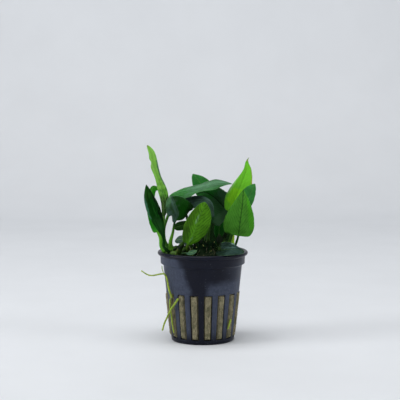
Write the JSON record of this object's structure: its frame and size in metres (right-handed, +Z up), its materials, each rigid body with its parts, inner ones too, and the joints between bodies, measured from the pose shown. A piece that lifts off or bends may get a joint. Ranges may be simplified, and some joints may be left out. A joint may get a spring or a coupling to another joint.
{
  "type": "potted dwarf anubias",
  "caption": "Dwarf broad-leaved aquarium plant on a creeping rhizome, rooted in a rock wool plug in a small tapered net pot with slotted walls and a rolled rim.",
  "frame": {"origin": "centre of the flat underside of the pot", "axes": "+Z up through the pot, -Y towards the front of the plant, +X to its right seen from the front"},
  "size_m": [0.0633, 0.05, 0.1084],
  "materials": {
    "pot_plastic": "satin",
    "rock_wool": "matte",
    "leaf_young": "satin",
    "leaf_green": "satin",
    "leaf_dark": "satin",
    "leaf_grey": "satin",
    "rhizome": "satin",
    "root": "satin"
  },
  "bodies": {
    "root": {"net_pot": "pot_plastic", "rock_wool": "rock_wool", "rhizome": "rhizome", "root_left_curl": "root", "root_front_cross": "root", "root_front_down": "root", "root_right_low": "root", "leaf_left_tall": "leaf_young", "leaf_right_upright": "leaf_young", "leaf_left_rear": "leaf_green", "leaf_top_rear": "leaf_green", "leaf_front_centre": "leaf_green", "leaf_front_right": "leaf_green", "leaf_right_rear": "leaf_green", "leaf_centre_rear": "leaf_green", "leaf_back_tall": "leaf_green", "leaf_back_right": "leaf_green", "leaf_back_left": "leaf_green", "leaf_back_centre": "leaf_green", "leaf_left_front": "leaf_dark", "leaf_left_folded": "leaf_dark", "leaf_centre_arched": "leaf_dark", "leaf_centre_broad": "leaf_dark", "leaf_left_low": "leaf_dark", "leaf_top_long": "leaf_grey", "leaf_low_right": "leaf_grey", "leaf_low_left": "leaf_grey", "leaf_rim": "leaf_grey"}
  },
  "joints": []
}
